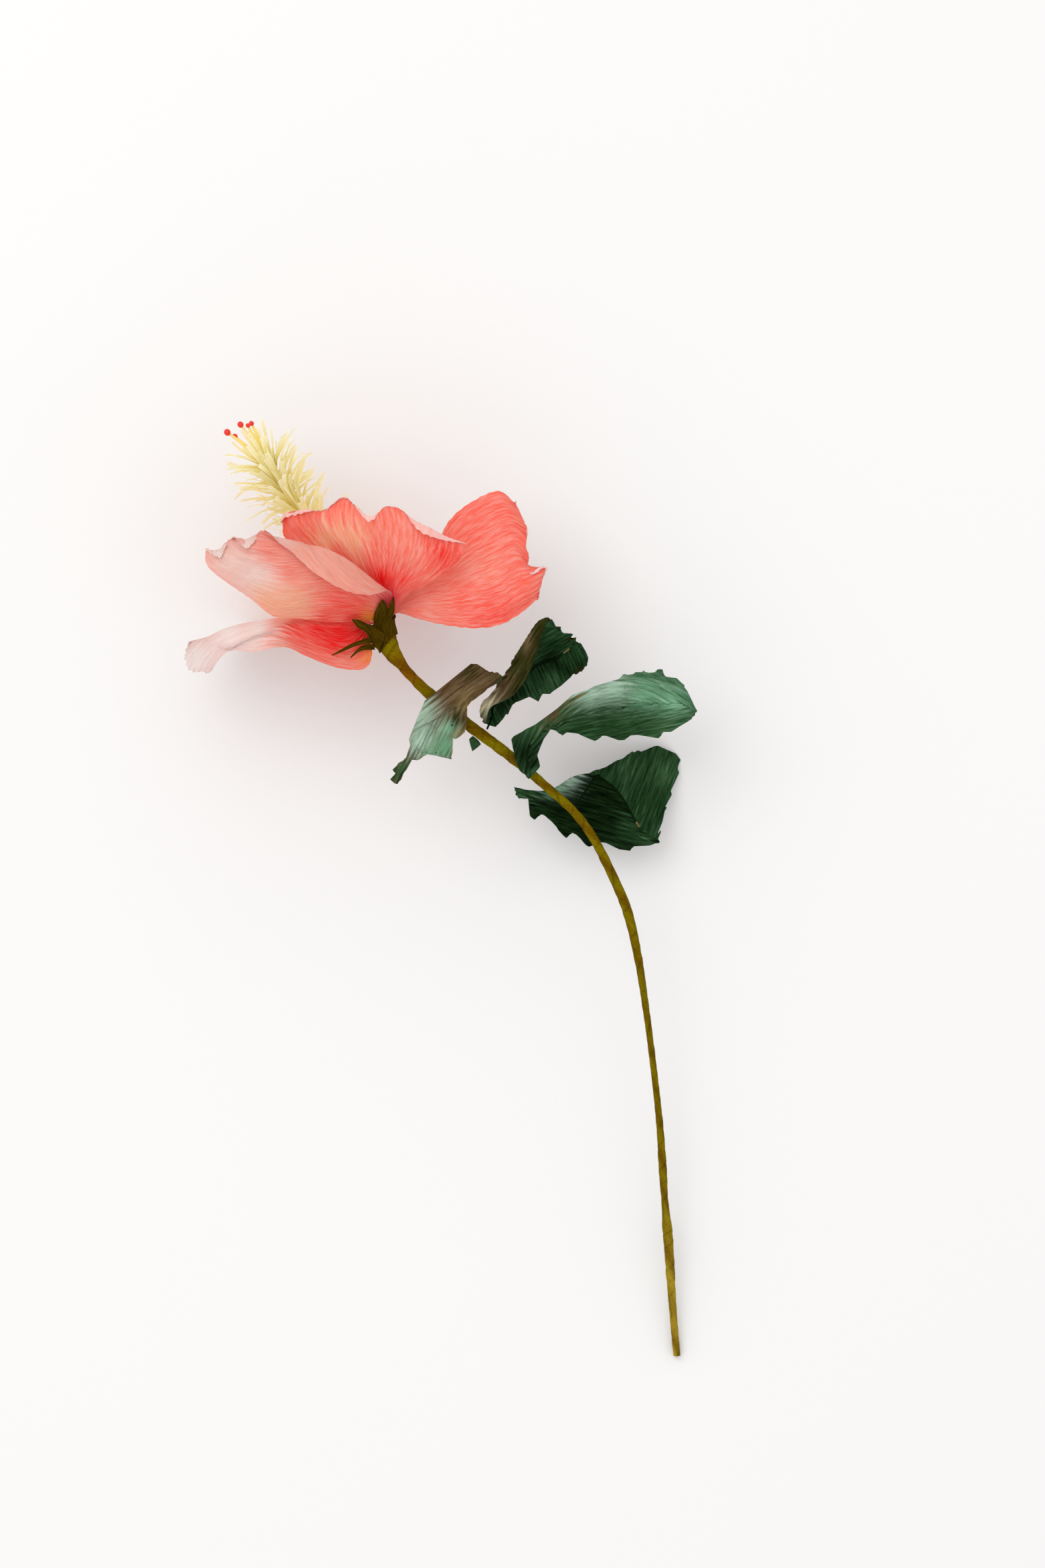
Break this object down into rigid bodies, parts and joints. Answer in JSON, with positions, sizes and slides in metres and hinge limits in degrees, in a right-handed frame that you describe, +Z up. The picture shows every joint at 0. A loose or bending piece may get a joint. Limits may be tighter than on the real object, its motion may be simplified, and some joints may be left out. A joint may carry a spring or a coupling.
{
  "type": "paper flower",
  "caption": "Craft-paper hibiscus with ruffled coral petals, a fringed stamen column and toothed leaves on a paper-wrapped wire stem, lying on its side.",
  "frame": {"origin": "centre of the bounding box on the floor plane that the flower lies on", "axes": "+Y from the cut stem end towards the flower head, +Z up from the floor, +X to the side of the leaves"},
  "size_m": [0.2157, 0.3952, 0.1027],
  "materials": {
    "wire": "satin",
    "stem_paper": "matte",
    "petal_paper": "matte",
    "fringe_paper": "matte",
    "stigma": "gloss",
    "calyx_paper": "matte",
    "leaf_paper": "matte",
    "leaf_wire": "matte"
  },
  "bodies": {
    "root": {"stem_wire": "wire", "stem_wrap": "stem_paper", "petal_1": "petal_paper", "petal_2": "petal_paper", "petal_3": "petal_paper", "petal_4": "petal_paper", "petal_5": "petal_paper", "stamen_fringe": "fringe_paper", "stigma_1": "stigma", "stigma_2": "stigma", "stigma_3": "stigma", "stigma_4": "stigma", "stigma_5": "stigma", "calyx": "calyx_paper", "bract_1": "calyx_paper", "bract_2": "calyx_paper", "leaf_a": "leaf_paper", "leaf_b": "leaf_paper", "leaf_c": "leaf_paper", "leaf_d": "leaf_paper", "leaf_wire_a": "leaf_wire", "leaf_wire_b": "leaf_wire", "leaf_wire_c": "leaf_wire", "leaf_wire_d": "leaf_wire", "stipule": "leaf_paper"}
  },
  "joints": []
}
